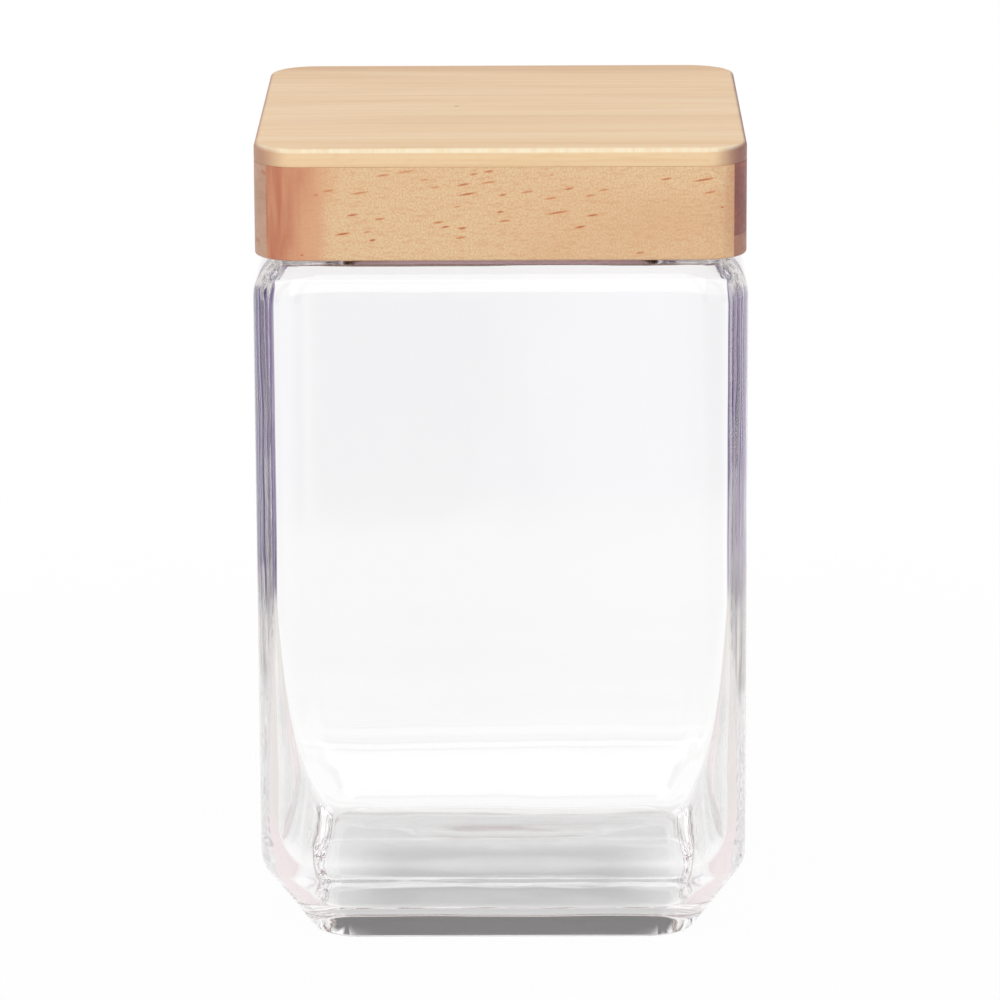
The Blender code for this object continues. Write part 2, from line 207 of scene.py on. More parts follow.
# %% Sizes of the glass
JAR_HALF = jar_high.x
RIM_Z = jar_high.z
LID_BOTTOM_Z = frame_low.z
WALL = 0.0040
JAR_CORNER = 0.0120
CHAMFER_INSET = 0.0116
CHAMFER_HEIGHT = 0.0188
CHAMFER_TOP_RADIUS = 0.0080
FOOT_HALF = JAR_HALF - CHAMFER_INSET
FOOT_CORNER = 0.0108
FOOT_EDGE_RADIUS = 0.0018
SKIRT_CLEARANCE = 0.0006
SHOULDER_HEIGHT = 0.0053
PLATEAU_Z = LID_BOTTOM_Z - SKIRT_CLEARANCE
SHOULDER_Z = PLATEAU_Z - SHOULDER_HEIGHT
SHOULDER_INSET = 0.0048
SHOULDER_RADIUS = 0.0110
SHOULDER_TOP_RADIUS = 0.0045
SHOULDER_THICKNESS = 0.0023
SLOPE_THICKNESS = 0.0028
INNER_SLOPE_RADIUS = 0.0010
INNER_SHOULDER_RADIUS = 0.0016
INNER_CORNER = 0.0030
INNER_SHOULDER_RUN = 0.0200
TIGHT_CORNER_END_Z = 0.0800
ROUND_CORNER_START_Z = 0.0400
NECK_INSET = 0.0118
NECK_HALF = JAR_HALF - NECK_INSET
NECK_CORNER = 0.0140
NECK_ROOT_RADIUS = 0.0020
INNER_ROOT_RADIUS = 0.0010
MOUTH_HALF = NECK_HALF - WALL
MOUTH_CORNER = NECK_CORNER - WALL
RIM_EDGE_RADIUS = 0.0016
BASE = 0.0065
INNER_CHAMFER_RADIUS = 0.0260
FLOOR_EDGE_RADIUS = 0.0080
BEARING_WIDTH = 0.0075
BEARING_HALF = FOOT_HALF - BEARING_WIDTH
BEARING_EDGE_RADIUS = 0.1000
PUSH_UP_SLOPE_WIDTH = 0.0240
PUSH_UP_HALF = BEARING_HALF - PUSH_UP_SLOPE_WIDTH
PUSH_UP_EDGE_RADIUS = 0.4000
PUSH_UP_HEIGHT = 0.0005
MIDDLE_HALF = 0.0010
MIDDLE_CORNER = 0.0005

# %% The glass body
LONGEST_GLASS_RUN = 0.0040
inner_half = JAR_HALF - WALL
shoulder_half = JAR_HALF - SHOULDER_INSET
neck_root_z = PLATEAU_Z - SHOULDER_THICKNESS
slope_turn = math.atan2(SHOULDER_INSET, PLATEAU_Z - SHOULDER_Z)
slope_at_shoulder = JAR_HALF - SLOPE_THICKNESS / math.cos(slope_turn)
slope_top_half = slope_at_shoulder - (neck_root_z - SHOULDER_Z) * math.tan(slope_turn)
slope_low_z = SHOULDER_Z - (inner_half - slope_at_shoulder) / math.tan(slope_turn)
chamfer_run = JAR_HALF - FOOT_HALF
chamfer_turn = math.atan2(chamfer_run, CHAMFER_HEIGHT)
inner_chamfer_z = CHAMFER_HEIGHT + WALL * math.tan(chamfer_turn / 2)
floor_half = inner_half - (inner_chamfer_z - BASE) * chamfer_run / CHAMFER_HEIGHT
shoulder_corner = (JAR_CORNER + NECK_CORNER) * HALF
slope_corner = (MOUTH_CORNER + INNER_CORNER) * HALF
low_corner = JAR_CORNER - WALL
corner_share = FOOT_CORNER / FOOT_HALF
glass_corners = [
    (MIDDLE_HALF, PUSH_UP_HEIGHT, MIDDLE_CORNER, 0, 0),
    (PUSH_UP_HALF, PUSH_UP_HEIGHT, PUSH_UP_HALF * corner_share, PUSH_UP_EDGE_RADIUS, 8),
    (BEARING_HALF, 0.0, BEARING_HALF * corner_share, BEARING_EDGE_RADIUS, 4),
    (FOOT_HALF, 0.0, FOOT_CORNER, FOOT_EDGE_RADIUS, 10),
    (JAR_HALF, CHAMFER_HEIGHT, JAR_CORNER, CHAMFER_TOP_RADIUS, 12),
    (JAR_HALF, SHOULDER_Z, JAR_CORNER, SHOULDER_RADIUS, 18),
    (shoulder_half, PLATEAU_Z, shoulder_corner, SHOULDER_TOP_RADIUS, 10),
    (NECK_HALF, PLATEAU_Z, NECK_CORNER, NECK_ROOT_RADIUS, 8),
    (NECK_HALF, RIM_Z, NECK_CORNER, RIM_EDGE_RADIUS, 8),
    (MOUTH_HALF, RIM_Z, MOUTH_CORNER, RIM_EDGE_RADIUS, 8),
    (MOUTH_HALF, neck_root_z, MOUTH_CORNER, INNER_ROOT_RADIUS, 8),
    (slope_top_half, neck_root_z, slope_corner, INNER_SLOPE_RADIUS, 8),
    (inner_half, slope_low_z, INNER_CORNER, INNER_SHOULDER_RADIUS, 14),
    (inner_half, slope_low_z - INNER_SHOULDER_RUN, INNER_CORNER, 0, 0),
    (inner_half, TIGHT_CORNER_END_Z, INNER_CORNER, 0, 0),
    (inner_half, ROUND_CORNER_START_Z, low_corner, 0, 0),
    (inner_half, inner_chamfer_z, low_corner, INNER_CHAMFER_RADIUS, 16),
    (floor_half, BASE, low_corner, FLOOR_EDGE_RADIUS, 14),
    (MIDDLE_HALF, BASE, MIDDLE_CORNER, 0, 0),
]
glass_profile = profile_from(glass_corners, LONGEST_GLASS_RUN)
glass = loft("glass_body", glass_profile)

# %% [markdown]
# ## An uneven inside
# Perfectly parallel walls look like a computer's glass. The inside of a blown jar touches no mould, so it is
# slightly wavy, most of all on the floor, where the glass is thick and cools last. We push each inner point
# along its normal by smooth noise, about a tenth of a millimetre on the walls and a little more on the floor.
# The outside stays true, so the jar's size does too.

# %% Uneven inside
WAVE_LENGTH = 0.022
FINE_WAVES = 2.3
WALL_WAVE = 0.00010
FLOOR_WAVE = 0.00016
FLOOR_ZONE = 0.020

ring_size = len(glass.data.vertices) // len(glass_profile)
heights = [place[1] for place in glass_profile]
first_inside = (heights.index(max(heights)) + 1) * ring_size
moved = 0
normals = [vertex.normal.copy() for vertex in glass.data.vertices]
for vertex in list(glass.data.vertices)[first_inside:]:
    point, normal = vertex.co, normals[vertex.index]
    if point.z < neck_root_z - WALL_WAVE:
        depth = max(0.0, 1 - (point.z - BASE) / FLOOR_ZONE)
        height = WALL_WAVE + (FLOOR_WAVE - WALL_WAVE) * min(1.0, depth)
        wave = noise.noise(point / WAVE_LENGTH) + HALF * noise.noise(point * FINE_WAVES / WAVE_LENGTH)
        vertex.co = point + normal * (wave * height)
        moved += 1
glass.data.update()
print("uneven points:", moved, "of", len(normals))

# %% [markdown]
# ## The lid's boards
# The lid is a shallow wooden box turned over. A thin board with a rounded upper edge lies on a frame of four
# boards, mitred at the corners, and glue holds them. The top board is a loft like the glass. A frame board
# is sawn to a plan: its outer face with half of each round corner, the two mitres, and a straight inner face.

# %% Top board
LID_HALF = board_high.x
LID_TOP_Z = board_high.z
BOARD_UNDERSIDE_Z = board_low.z
LID_CORNER = 0.0100
GLUE_LINE = 0.00004
EASE = 0.00006
TOP_EDGE = 0.0012
top_corners = [
    (MIDDLE_HALF, BOARD_UNDERSIDE_Z, MIDDLE_CORNER, 0, 0),
    (LID_HALF, BOARD_UNDERSIDE_Z, LID_CORNER, EASE, 3),
    (LID_HALF, LID_TOP_Z, LID_CORNER, TOP_EDGE, 12),
    (MIDDLE_HALF, LID_TOP_Z, MIDDLE_CORNER, 0, 0),
]
LONGEST_BOARD_RUN = 0.0200
top_board = loft("top_board", profile_from(top_corners, LONGEST_BOARD_RUN))

# %% Frame boards
FRAME_TOP_Z = BOARD_UNDERSIDE_Z - GLUE_LINE
FRAME_NECK_CLEARANCE = 0.0016
FRAME_INNER_HALF = NECK_HALF + FRAME_NECK_CLEARANCE
FRAME_EDGE = 0.0005
EDGE_STEPS = 5
FACE_STEPS = 24
SHARP_TURN = math.radians(40)


def plan_of_board(inset):
    """Plan of the +X board: its outer line stands in by inset, and its mitres leave half a glue line."""
    set_back = GLUE_LINE * HALF * math.sqrt(2)
    radius = LID_CORNER - inset
    centre = LID_HALF - LID_CORNER
    last = math.radians(45) - math.asin(set_back / math.sqrt(2) / LID_CORNER)
    corner = []
    for step in range(CORNER_STEPS * 2 + 1):
        angle = last * step / (CORNER_STEPS * 2)
        corner.append((centre + radius * math.cos(angle), centre + radius * math.sin(angle)))
    face = []
    for step in range(1, FACE_STEPS):
        face.append((centre + radius, centre * (2 * step / FACE_STEPS - 1)))
    lower = [(x, -y) for x, y in reversed(corner)]
    inner_y = FRAME_INNER_HALF - set_back
    return lower + face + corner + [(FRAME_INNER_HALF, inner_y), (FRAME_INNER_HALF, -inner_y)]


def frame_board(name, quarter_turns):
    """A mitred board with an eased lower outer edge, turned to its own side."""
    levels = []
    for step in range(EDGE_STEPS + 1):
        angle = math.radians(90 * step / EDGE_STEPS)
        inset = FRAME_EDGE * (1 - math.sin(angle))
        levels.append((inset, LID_BOTTOM_Z + FRAME_EDGE * (1 - math.cos(angle))))
    levels += [(0.0, FRAME_TOP_Z - EASE), (EASE, FRAME_TOP_Z)]
    spin = Matrix.Rotation(math.radians(90 * quarter_turns), 3, "Z")
    rings = []
    for inset, z in levels:
        rings.append([spin @ Vector((x, y, z)) for x, y in plan_of_board(inset)])
    board = skin(name, rings)
    board.data.set_sharp_from_angle(angle=SHARP_TURN)
    return board


frame_right = frame_board("frame_right", 0)
frame_back = frame_board("frame_back", 1)
frame_left = frame_board("frame_left", 2)
frame_front = frame_board("frame_front", 3)
print("frame boards from", round(LID_BOTTOM_Z * 1000, 1), "to", round(FRAME_TOP_Z * 1000, 1), "mm")

# %% [markdown]
# ## The plug and its seal
# Under the top board sits a smaller board that goes into the mouth. A ring of clear silicone lies in its
# groove, and on a real jar its two thin lips press on the glass, so the lid stays put and keeps the air out.
# Both are hidden when the jar is shut. They are lofts again, and the seal's profile closes on itself, as a
# ring. Its lips stop a third of a millimetre short of the glass, so that nothing touches in the model.

# %% Plug
GAP = 0.0003
PLUG_CLEARANCE = 0.0016
PLUG_THICKNESS = 0.0110
PLUG_HALF = MOUTH_HALF - PLUG_CLEARANCE
PLUG_CORNER = MOUTH_CORNER - PLUG_CLEARANCE
PLUG_TOP_Z = BOARD_UNDERSIDE_Z - GLUE_LINE
PLUG_BOTTOM_Z = BOARD_UNDERSIDE_Z - GAP - PLUG_THICKNESS
LEAD_IN = 0.0010
LEAD_IN_RADIUS = 0.0006
GROOVE_BELOW_TOP = 0.0026
GROOVE_HEIGHT = 0.0052
GROOVE_DEPTH = 0.0024
GROOVE_TOP_Z = BOARD_UNDERSIDE_Z - GAP - GROOVE_BELOW_TOP
GROOVE_BOTTOM_Z = GROOVE_TOP_Z - GROOVE_HEIGHT
groove_half = PLUG_HALF - GROOVE_DEPTH
groove_corner = PLUG_CORNER - GROOVE_DEPTH
plug_corners = [
    (MIDDLE_HALF, PLUG_BOTTOM_Z, MIDDLE_CORNER, 0, 0),
    (PLUG_HALF - LEAD_IN, PLUG_BOTTOM_Z, PLUG_CORNER - LEAD_IN, LEAD_IN_RADIUS, 3),
    (PLUG_HALF, PLUG_BOTTOM_Z + LEAD_IN, PLUG_CORNER, LEAD_IN_RADIUS, 3),
    (PLUG_HALF, GROOVE_BOTTOM_Z, PLUG_CORNER, EASE, 2),
    (groove_half, GROOVE_BOTTOM_Z, groove_corner, 0, 0),
    (groove_half, GROOVE_TOP_Z, groove_corner, 0, 0),
    (PLUG_HALF, GROOVE_TOP_Z, PLUG_CORNER, EASE, 2),
    (PLUG_HALF, PLUG_TOP_Z, PLUG_CORNER, EASE, 2),
    (MIDDLE_HALF, PLUG_TOP_Z, MIDDLE_CORNER, 0, 0),
]
plug = loft("plug", profile_from(plug_corners, LONGEST_BOARD_RUN))
plug.data.set_sharp_from_angle(angle=SHARP_TURN)

# %% Seal
LIP_COUNT = 2
LIP_SHARP_TURN = math.radians(50)
LIP_HALF = MOUTH_HALF - GAP
LIP_CORNER = MOUTH_CORNER - GAP
LIP_ROOT = 0.0012
LIP_TIP = 0.0005
LIP_DROOP = 0.0004
band_bottom_z = GROOVE_BOTTOM_Z + GAP
band_top_z = GROOVE_TOP_Z - GAP
seal_profile = [
    (groove_half + GAP, band_top_z, groove_corner + GAP),
    (groove_half + GAP, band_bottom_z, groove_corner + GAP),
    (PLUG_HALF, band_bottom_z, PLUG_CORNER),
]
for lip in range(LIP_COUNT):
    middle_z = band_bottom_z + (band_top_z - band_bottom_z) * (lip + HALF) / LIP_COUNT
    tip_z = middle_z - LIP_DROOP
    seal_profile += [
        (PLUG_HALF, middle_z - LIP_ROOT * HALF, PLUG_CORNER),
        (LIP_HALF - LIP_TIP * HALF, tip_z - LIP_TIP * HALF, LIP_CORNER),
        (LIP_HALF, tip_z, LIP_CORNER),
        (LIP_HALF - LIP_TIP * HALF, tip_z + LIP_TIP * HALF, LIP_CORNER),
        (PLUG_HALF, middle_z + LIP_ROOT * HALF, PLUG_CORNER),
    ]
seal_profile.append((PLUG_HALF, band_top_z, PLUG_CORNER))
seal = loft("seal", seal_profile, closed=True)
seal.data.set_sharp_from_angle(angle=LIP_SHARP_TURN)

# %% [markdown]
# ## Short words for shader nodes
# A finish is a small machine of nodes, and the same few parts come back in each of them: stretched noise for
# grain, a range that turns grey values into a mask, and a mix of two colours. A helper for each keeps the
# recipes short enough to read. Colours are written as they look on a screen and turned to linear light.
# Noise keeps close to one half, so a mask from 0.5 to 0.7, say, picks out its peaks alone.

# %% Node helpers
WHITE = (1.0, 1.0, 1.0, 1.0)
GRAIN_DEPTH = 0.0001


def linear(red, green, blue):
    """A colour given as screen values from 0 to 255, as the linear colour that a shader wants."""
    channels = []
    for value in (red, green, blue):
        share = value / 255
        channels.append(share / 12.92 if share <= 0.04045 else ((share + 0.055) / 1.055) ** 2.4)
    return (*channels, 1.0)


def node(tree, kind, inputs=None, **settings):
    """Adds a node, changes its settings, and sets or links its inputs by name or number."""
    made = tree.nodes.new(kind)
    for setting, value in settings.items():
        setattr(made, setting, value)
    for key, value in (inputs or {}).items():
        if isinstance(value, bpy.types.NodeSocket):
            tree.links.new(value, made.inputs[key])
        else:
            made.inputs[key].default_value = value
    return made


def maths(tree, operation, first, second=0.0):
    """One sum of two values."""
    return node(tree, "ShaderNodeMath", {0: first, 1: second}, operation=operation).outputs[0]


def masked(tree, value, low, high, to_low=0.0, to_high=1.0):
    """A smooth step of a value from low to high."""
    inputs = {"Value": value, "From Min": low, "From Max": high, "To Min": to_low, "To Max": to_high}
    return node(tree, "ShaderNodeMapRange", inputs, interpolation_type="SMOOTHSTEP").outputs["Result"]


def mixed(tree, share, first, second):
    """Two colours mixed by a share: inputs 0, 6 and 7 of a colour mix are its factor, A and B."""
    inputs = {0: share, 6: first, 7: second}
    made = node(tree, "ShaderNodeMix", inputs, data_type="RGBA", blend_type="MIX", clamp_result=True)
    return made.outputs[2]


def tinted(tree, colour, pattern, low, high, strength, tint):
    """Lays a tint over a colour, more and more as a pattern goes from low to high."""
    return mixed(tree, masked(tree, pattern, low, high, 0.0, strength), colour, tint)


def mixed_value(tree, share, first, second):
    """Two plain values mixed by a share."""
    return node(tree, "ShaderNodeMix", {0: share, 2: first, 3: second}, data_type="FLOAT").outputs[0]


def near_axes(tree, split, low, high):
    """A mask that is 1 towards the front, the back and both sides, and 0 towards the corners."""
    bearing = maths(tree, "ARCTAN2", split.outputs["X"], split.outputs["Y"])
    waves = maths(tree, "COSINE", maths(tree, "MULTIPLY", bearing, 4.0))
    return masked(tree, waves, low, high)


def grain(tree, place, stretch, detail=3.0, tilt=(0.0, 0.0, 0.0), wobble=0.0):
    """Noise stretched by its own number of waves per metre along x, y and z."""
    inputs = {"Vector": place, "Rotation": tilt, "Scale": stretch}
    mapped = node(tree, "ShaderNodeMapping", inputs, vector_type="POINT").outputs[0]
    inputs = {"Vector": mapped, "Scale": 1.0, "Detail": detail, "Distortion": wobble}
    return node(tree, "ShaderNodeTexNoise", inputs).outputs[0]


def press(tree, shader, height, strength, depth=GRAIN_DEPTH):
    """Presses a grey pattern into the surface as a bump."""
    bump = node(tree, "ShaderNodeBump", {"Strength": strength, "Distance": depth, "Height": height})
    tree.links.new(bump.outputs[0], shader.inputs["Normal"])


def new_finish(name):
    """An empty material with a Principled shader. Returns material, tree, shader and object place."""
    material = bpy.data.materials.new(name)
    material.use_nodes = True
    tree = material.node_tree
    shader = tree.nodes["Principled BSDF"]
    place = tree.nodes.new("ShaderNodeTexCoord").outputs["Object"]
    return material, tree, shader, place


# %% [markdown]
# ## Clear glass
# Clear glass has no colour of its own. What shows it is refraction, a bright or dark line where a wall is
# seen edge on, and a faint grey in long paths, which a volume that absorbs a little gives on its own. A weak
# bump stands for the fine ripple that fire polishing leaves, and it moves reflections more than shapes. Here
# and there the surface is a very little rougher, as on glass that hands have touched.

# %% Glass finish
GLASS_IOR = 1.5
GLASS_DENSITY = 1.0
GLASS_TINT = (0.74, 0.73, 0.75, 1.0)
SMEAR_ROUGHNESS = 0.012
RIPPLE_STRENGTH = 0.12
RIPPLE_DEPTH = 0.001

glass_finish, tree, shader, place = new_finish("clear_glass")
shader.inputs["Base Color"].default_value = WHITE
shader.inputs["Transmission Weight"].default_value = 1.0
shader.inputs["IOR"].default_value = GLASS_IOR
smear = grain(tree, place, (60.0, 60.0, 25.0), detail=2.0)
tree.links.new(masked(tree, smear, 0.55, 0.80, 0.0, SMEAR_ROUGHNESS), shader.inputs["Roughness"])
ripple = grain(tree, place, (55.0, 55.0, 35.0), detail=1.0)
press(tree, shader, ripple, RIPPLE_STRENGTH, RIPPLE_DEPTH)
depth_tint = node(tree, "ShaderNodeVolumeAbsorption", {"Color": GLASS_TINT, "Density": GLASS_DENSITY})
tree.links.new(depth_tint.outputs[0], tree.nodes["Material Output"].inputs["Volume"])
glass.data.materials.append(glass_finish)
print("clear glass: index", GLASS_IOR)

# %% [markdown]
# ## Pale wood of the top board
# The top board is a quiet, straight-grained wood under a satin coat. Its grain runs from left to right, with
# long thin lines a little darker than the ground, one warmer band along the back edge and one pin knot. Noise
# stretched some forty times along the board makes the lines, and the same noise presses them in very
# slightly. The round-over at the front gets a painted highlight, dashed where it cuts through the grain, and
# both ends get end grain with painted shade over it, darker on the right, away from the lamp. Masks place
# these two by the way the surface faces, so they follow the board's shape.

# %% Top board finish
PALE_TAN = linear(249, 216, 172)
WARM_TAN = linear(234, 190, 140)
BAND_TAN = linear(208, 150, 94)
# Painted highlight for the front round-over.
HIGHLIGHT_CREAM = linear(252, 238, 206)
# Painted shade for the board's two ends, over their end grain, deeper on the right.
LEFT_END_SHADE_TAN = linear(200, 152, 124)
RIGHT_END_SHADE_BROWN = linear(158, 110, 100)
KNOT_BROWN = linear(166, 124, 82)
KNOT_PLACE = (-0.0101, -0.0012, LID_TOP_Z)
KNOT_RADIUS = 0.0009
KNOT_CORE = KNOT_RADIUS / 4
BAND_START_Y = 0.0420
BAND_FULL_Y = 0.0570
BAND_WANDER = 0.008
ENDS_MEET_X = 0.02
TOP_GRAIN_STRENGTH = 0.25
SATIN = 0.42
WOOD_SHINE = 0.30

top_finish, tree, shader, place = new_finish("top_wood")
broad = grain(tree, place, (7.0, 70.0, 70.0), detail=2.0, wobble=0.4)
lines = grain(tree, place, (14.0, 600.0, 600.0), detail=5.0, wobble=0.3)
streaks = grain(tree, place, (9.0, 260.0, 420.0), detail=3.0, wobble=0.5)
fleck = grain(tree, place, (260.0, 1100.0, 1100.0), detail=2.0)
colour = tinted(tree, PALE_TAN, broad, 0.38, 0.72, 0.45, WARM_TAN)
colour = tinted(tree, colour, streaks, 0.52, 0.70, 0.40, WARM_TAN)
colour = tinted(tree, colour, lines, 0.50, 0.70, 0.38, WARM_TAN)
colour = tinted(tree, colour, fleck, 0.52, 0.72, 0.20, WARM_TAN)
split = node(tree, "ShaderNodeSeparateXYZ", {0: place})
wander = grain(tree, place, (20.0, 120.0, 120.0), detail=2.0)
depth_y = maths(tree, "ADD", split.outputs["Y"], maths(tree, "MULTIPLY", wander, BAND_WANDER))
colour = tinted(tree, colour, depth_y, BAND_START_Y, BAND_FULL_Y, 0.50, BAND_TAN)
facing = node(tree, "ShaderNodeNewGeometry").outputs["Normal"]
slope = node(tree, "ShaderNodeSeparateXYZ", {0: facing})
turned_up = masked(tree, slope.outputs["Z"], 0.04, 0.30)
not_level = masked(tree, slope.outputs["Z"], 0.99, 0.90)
on_arc = maths(tree, "MULTIPLY", turned_up, not_level)
on_arc = maths(tree, "MULTIPLY", on_arc, masked(tree, slope.outputs["Y"], 0.05, -0.25))
# The paler round-over is a painted highlight, broken into dashes by grain noise.
dashes = grain(tree, place, (700.0, 90.0, 90.0), detail=2.0)
painted_highlight = maths(tree, "MULTIPLY", on_arc, masked(tree, dashes, 0.35, 0.65, 0.55, 0.95))
colour = mixed(tree, painted_highlight, colour, HIGHLIGHT_CREAM)
# Both ends: end grain with painted shade over it, darker on the right, away from the lamp.
right_half = masked(tree, split.outputs["X"], -ENDS_MEET_X, ENDS_MEET_X)
end_shade_tan = mixed(tree, right_half, LEFT_END_SHADE_TAN, RIGHT_END_SHADE_BROWN)
end_grain_and_shade = masked(tree, maths(tree, "ABSOLUTE", slope.outputs["X"]), 0.18, 0.88)
colour = mixed(tree, end_grain_and_shade, colour, end_shade_tan)
to_knot = node(tree, "ShaderNodeVectorMath", {0: place, 1: KNOT_PLACE}, operation="DISTANCE").outputs["Value"]
colour = tinted(tree, colour, to_knot, KNOT_RADIUS, KNOT_CORE, 0.65, KNOT_BROWN)
tree.links.new(colour, shader.inputs["Base Color"])
tree.links.new(masked(tree, lines, 0.3, 0.7, SATIN - 0.05, SATIN + 0.08), shader.inputs["Roughness"])
shader.inputs["Specular IOR Level"].default_value = WOOD_SHINE
press(tree, shader, lines, TOP_GRAIN_STRENGTH)
top_board.data.materials.append(top_finish)
print("top board:", len(tree.nodes), "nodes")

# %% [markdown]
# ## Pored wood of the front board
# The front board is another wood, orange-tan and cut so that its pores show as short dark dashes, each a few
# millimetres long and rising a little to the right. Each has a dark core in a paler orange halo, where the
# coat has soaked into the wood. A fine speckle fills the ground, and the left end turns reddish where the
# board lay near a knot. The pores that catch the eye are listed one by one, as soft ellipses.

# %% Pores of the front board
ORANGE_TAN = linear(238, 206, 161)
SPECKLE_TAN = linear(222, 164, 120)
PORE_BROWN = linear(186, 98, 62)
PORE_ORANGE = linear(216, 136, 82)
RED_PATCH = linear(196, 118, 88)
BLUSH_TAN = linear(222, 156, 116)
PORE_SLOPE = math.radians(9.0)
STROKE_SLOPE = math.radians(-60)
FIBRE_SLOPE = math.radians(12)
PORE_THICKNESS = 0.00042
HALO_REACH = 1.60
CORE_REACH = 0.30
# Places along the board between which a colour comes in, and how far its edge wanders.
BLUSH_X = (-0.0260, -0.0360)
RED_PATCH_X = (-0.0330, -0.0430)
RIGHT_END_X = (0.0540, 0.0600)
PATCH_WANDER = 0.016
BOARD_GRAIN_STRENGTH = 0.3
# Each pore: places along the board from its middle and up from its lower edge, length and strength.
FRONT_PORES = [
    (-37.7, 15.7, 2.7, 0.6), (-30.8, 15.2, 3.9, 0.6), (-25.7, 19.1, 2.8, 0.6), (-20.5, 19.9, 4.5, 0.5),
    (-16.5, 18.1, 1.6, 0.5), (-14.3, 16.4, 1.8, 0.5), (-8.0, 17.0, 2.8, 0.8), (-5.7, 19.3, 1.7, 0.7),
    (-2.5, 19.9, 2.0, 0.8), (-2.5, 17.5, 3.2, 0.6), (-7.1, 14.9, 3.5, 0.9), (-32.4, 10.3, 2.2, 0.9),
    (-26.4, 9.4, 2.2, 0.7), (-34.5, 6.1, 2.9, 1.0), (-29.2, 6.5, 1.6, 0.5), (-28.0, 4.7, 1.2, 1.0),
    (-13.6, 8.6, 2.0, 0.8), (-12.0, 7.6, 1.7, 0.9), (-8.3, 7.3, 1.7, 0.9), (-8.7, 5.2, 2.2, 0.7),
    (-9.4, 12.1, 1.8, 0.4), (0.0, 10.9, 1.4, 0.9), (0.9, 8.9, 2.4, 0.7), (5.9, 15.3, 2.7, 0.6),
    (0.6, 14.7, 1.5, 0.8), (15.0, 16.0, 2.0, 0.8), (22.6, 15.7, 2.3, 0.5), (11.1, 13.9, 2.6, 0.6),
    (19.8, 14.5, 2.1, 0.6), (36.3, 18.1, 2.2, 0.8), (44.5, 17.9, 4.3, 0.9), (45.9, 15.1, 2.3, 0.7),
    (12.5, 10.7, 4.8, 0.8), (20.2, 10.1, 2.2, 0.9), (17.5, 7.5, 2.2, 0.9), (30.6, 1.7, 1.8, 0.7),
    (48.6, 11.6, 0.6, 0.8), (-43.5, 1.4, 0.7, 0.9), (11.3, 19.1, 1.0, 0.4), (-40.3, 14.8, 0.8, 0.7),
]
MM = 0.001


def add_pores(tree, place, pores):
    """A mask with one slanted soft ellipse for each pore, on a board that faces the front."""
    lean = {"Vector": place, "Rotation": (0.0, PORE_SLOPE, 0.0)}
    leaned = node(tree, "ShaderNodeMapping", lean, vector_type="POINT").outputs[0]
    back = Matrix.Rotation(PORE_SLOPE, 3, "Y")
    mask = 0.0
    for along, up, length, strength in pores:
        centre = back @ Vector((along * MM, -LID_HALF, LID_BOTTOM_Z + up * MM))
        size = Vector((2 / (length * MM), 0.0, 2 / PORE_THICKNESS))
        shift = (-centre.x * size.x, 0.0, -centre.z * size.z)
        inputs = {0: leaned, 1: tuple(size), 2: shift}
        scaled = node(tree, "ShaderNodeVectorMath", inputs, operation="MULTIPLY_ADD").outputs[0]
        reach = node(tree, "ShaderNodeVectorMath", {0: scaled}, operation="LENGTH").outputs["Value"]
        mask = maths(tree, "MAXIMUM", masked(tree, reach, HALO_REACH, CORE_REACH, 0.0, strength), mask)
    return mask


# %% Front board finish
front_finish, tree, shader, place = new_finish("front_wood")
broad = grain(tree, place, (14.0, 60.0, 60.0), detail=3.0, wobble=0.6)
speckle = grain(tree, place, (2600.0, 2600.0, 2200.0), detail=2.0)
strokes = grain(tree, place, (420.0, 420.0, 1500.0), detail=2.0, tilt=(0.0, STROKE_SLOPE, 0.0))
colour = tinted(tree, ORANGE_TAN, broad, 0.35, 0.70, 0.35, SPECKLE_TAN)
colour = tinted(tree, colour, speckle, 0.38, 0.68, 0.60, SPECKLE_TAN)
colour = tinted(tree, colour, strokes, 0.48, 0.72, 0.45, SPECKLE_TAN)
split = node(tree, "ShaderNodeSeparateXYZ", {0: place})
wander = grain(tree, place, (160.0, 60.0, 40.0), detail=3.0)
along_x = maths(tree, "ADD", split.outputs["X"], maths(tree, "MULTIPLY", wander, PATCH_WANDER))
fibres = grain(tree, place, (420.0, 420.0, 45.0), detail=4.0, tilt=(0.0, FIBRE_SLOPE, 0.0), wobble=0.4)
colour = tinted(tree, colour, along_x, *BLUSH_X, 0.75, BLUSH_TAN)
patch = masked(tree, along_x, *RED_PATCH_X)
end_blush = masked(tree, along_x, *RIGHT_END_X, 0.0, 0.45)
patch = maths(tree, "MAXIMUM", patch, end_blush)
patch = maths(tree, "MULTIPLY", patch, masked(tree, fibres, 0.30, 0.60, 0.35, 1.0))
colour = mixed(tree, patch, colour, RED_PATCH)
pores = add_pores(tree, place, FRONT_PORES)
colour = tinted(tree, colour, pores, 0.0, 0.50, 0.75, PORE_ORANGE)
colour = mixed(tree, masked(tree, pores, 0.40, 1.15), colour, PORE_BROWN)
tree.links.new(colour, shader.inputs["Base Color"])
tree.links.new(masked(tree, speckle, 0.3, 0.7, SATIN, SATIN + 0.12), shader.inputs["Roughness"])
press(tree, shader, speckle, BOARD_GRAIN_STRENGTH)
frame_front.data.materials.append(front_finish)
print("front board:", len(FRONT_PORES), "pores")

# %% [markdown]
# ## The other boards
# The side and back boards come from the same stack of wood, and no two match. The left one is pinkish tan.
# The right one is darker and redder, partly its own wood and partly painted shade, as it faces away from the
# lamp, and it is darker above a level line near its lower edge than below it. The back is like the front.
# The plug under the lid is the palest. One recipe serves all four: ground, broad tone, fine fibres and small
# pores from stretched cells.

# %% Recipe for the other boards
LOWER_TONE_Z = 0.1640


